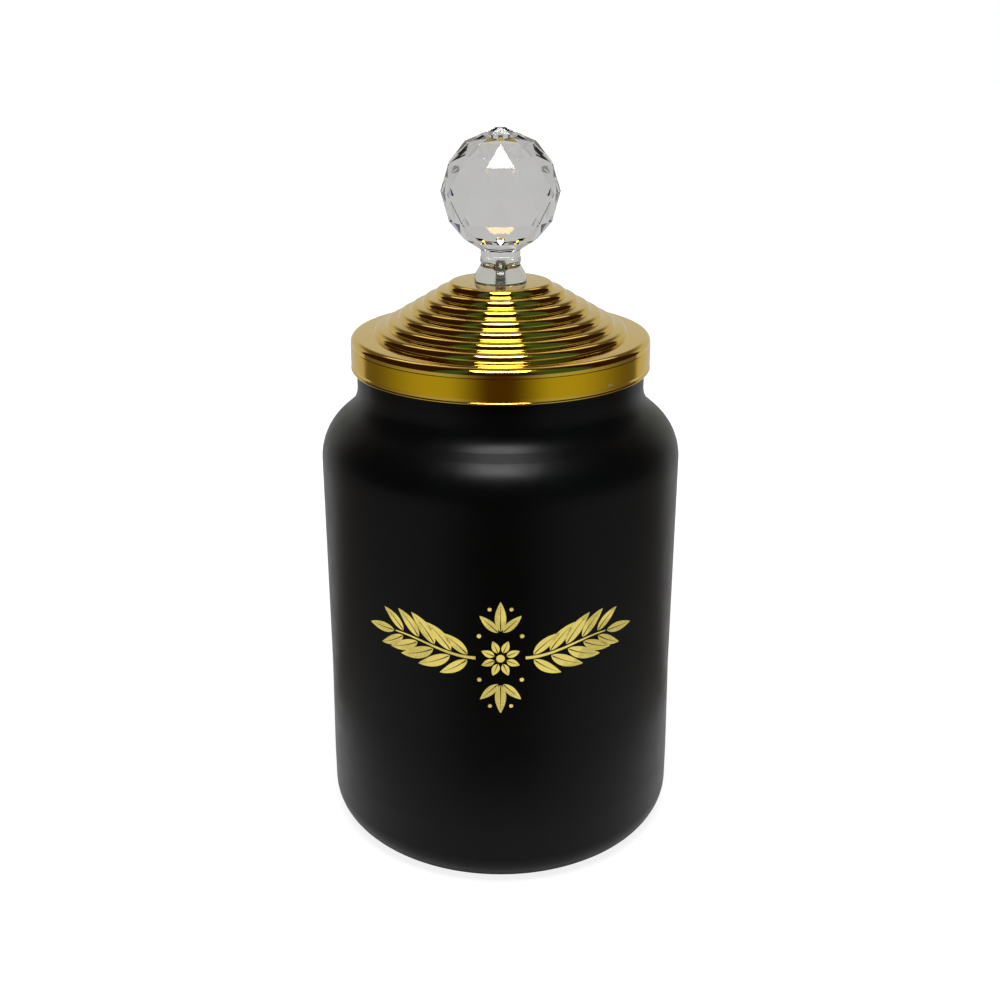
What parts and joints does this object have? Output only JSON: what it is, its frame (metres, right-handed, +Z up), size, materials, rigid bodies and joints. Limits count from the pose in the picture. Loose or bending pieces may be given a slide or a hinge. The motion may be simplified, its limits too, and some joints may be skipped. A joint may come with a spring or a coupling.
{
  "type": "lidded storage canister",
  "caption": "Round glass jar with a narrow neck and a lift-off stepped metal lid topped by a faceted clear ball knob on a small foot.",
  "frame": {"origin": "centre of the jar's base, on the surface that it stands on", "axes": "+Z up along the axis of the jar, lid and knob; -Y is the decorated front"},
  "size_m": [0.1058, 0.1058, 0.2086],
  "materials": {
    "black_glass": "satin black sprayed coat over clear glass",
    "gold_plate": "polished gold plate on the steps, satin on the skirt",
    "white_plastic": "moulded, matt",
    "clear_silicone": "translucent silicone",
    "crystal": "cut and polished",
    "clear_foot": "clear, polished",
    "clear_gasket": "clear soft washer",
    "screw_steel": "zinc plated",
    "washer_steel": "zinc plated"
  },
  "bodies": {
    "jar": {"glass_jar": "black_glass"},
    "lid": {"lid_shell": "gold_plate", "lid_liner": "white_plastic", "seal_ring": "clear_silicone", "knob_ball": "crystal", "knob_foot": "clear_foot", "knob_gasket": "clear_gasket", "knob_screw": "screw_steel", "screw_washer": "washer_steel"}
  },
  "joints": [
    {"name": "lid_lift", "type": "slide", "parent": "jar", "child": "lid", "axis": [0, 0, 1], "range_m": [0, 0.09]}
  ]
}
